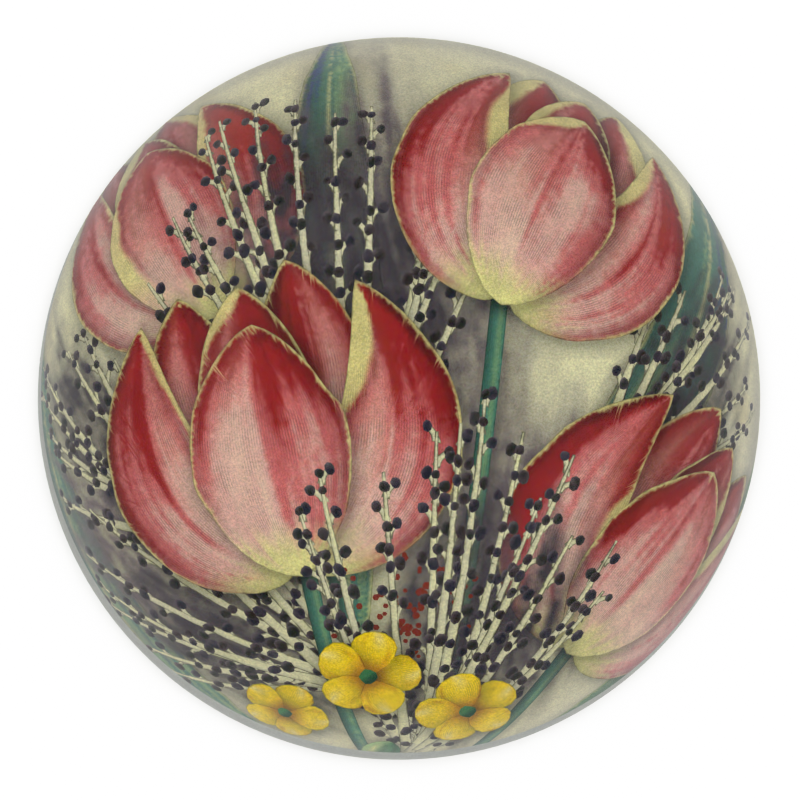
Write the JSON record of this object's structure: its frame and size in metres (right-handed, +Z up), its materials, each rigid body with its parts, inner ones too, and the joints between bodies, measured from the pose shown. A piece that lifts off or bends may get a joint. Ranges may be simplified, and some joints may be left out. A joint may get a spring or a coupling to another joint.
{
  "type": "glass dome paperweight",
  "caption": "Solid clear glass dome paperweight magnifying a printed floral paper disc glued to its flat underside, with a felt disc below that rests on the table.",
  "frame": {"origin": "centre of the felt's underside, the face that the paperweight rests on", "axes": "+Z up along the dome's axis, +Y towards the top of the print, +X to its right"},
  "size_m": [0.089, 0.089, 0.038],
  "materials": {
    "clear_glass": "polished clear solid glass",
    "printed_paper": "matte printed paper in crimson, rose, cream and green, glued face up to the glass",
    "felt": "dark green wool felt"
  },
  "bodies": {
    "root": {"glass_dome": "clear_glass", "print_disc": "printed_paper", "felt_base": "felt"}
  },
  "joints": []
}
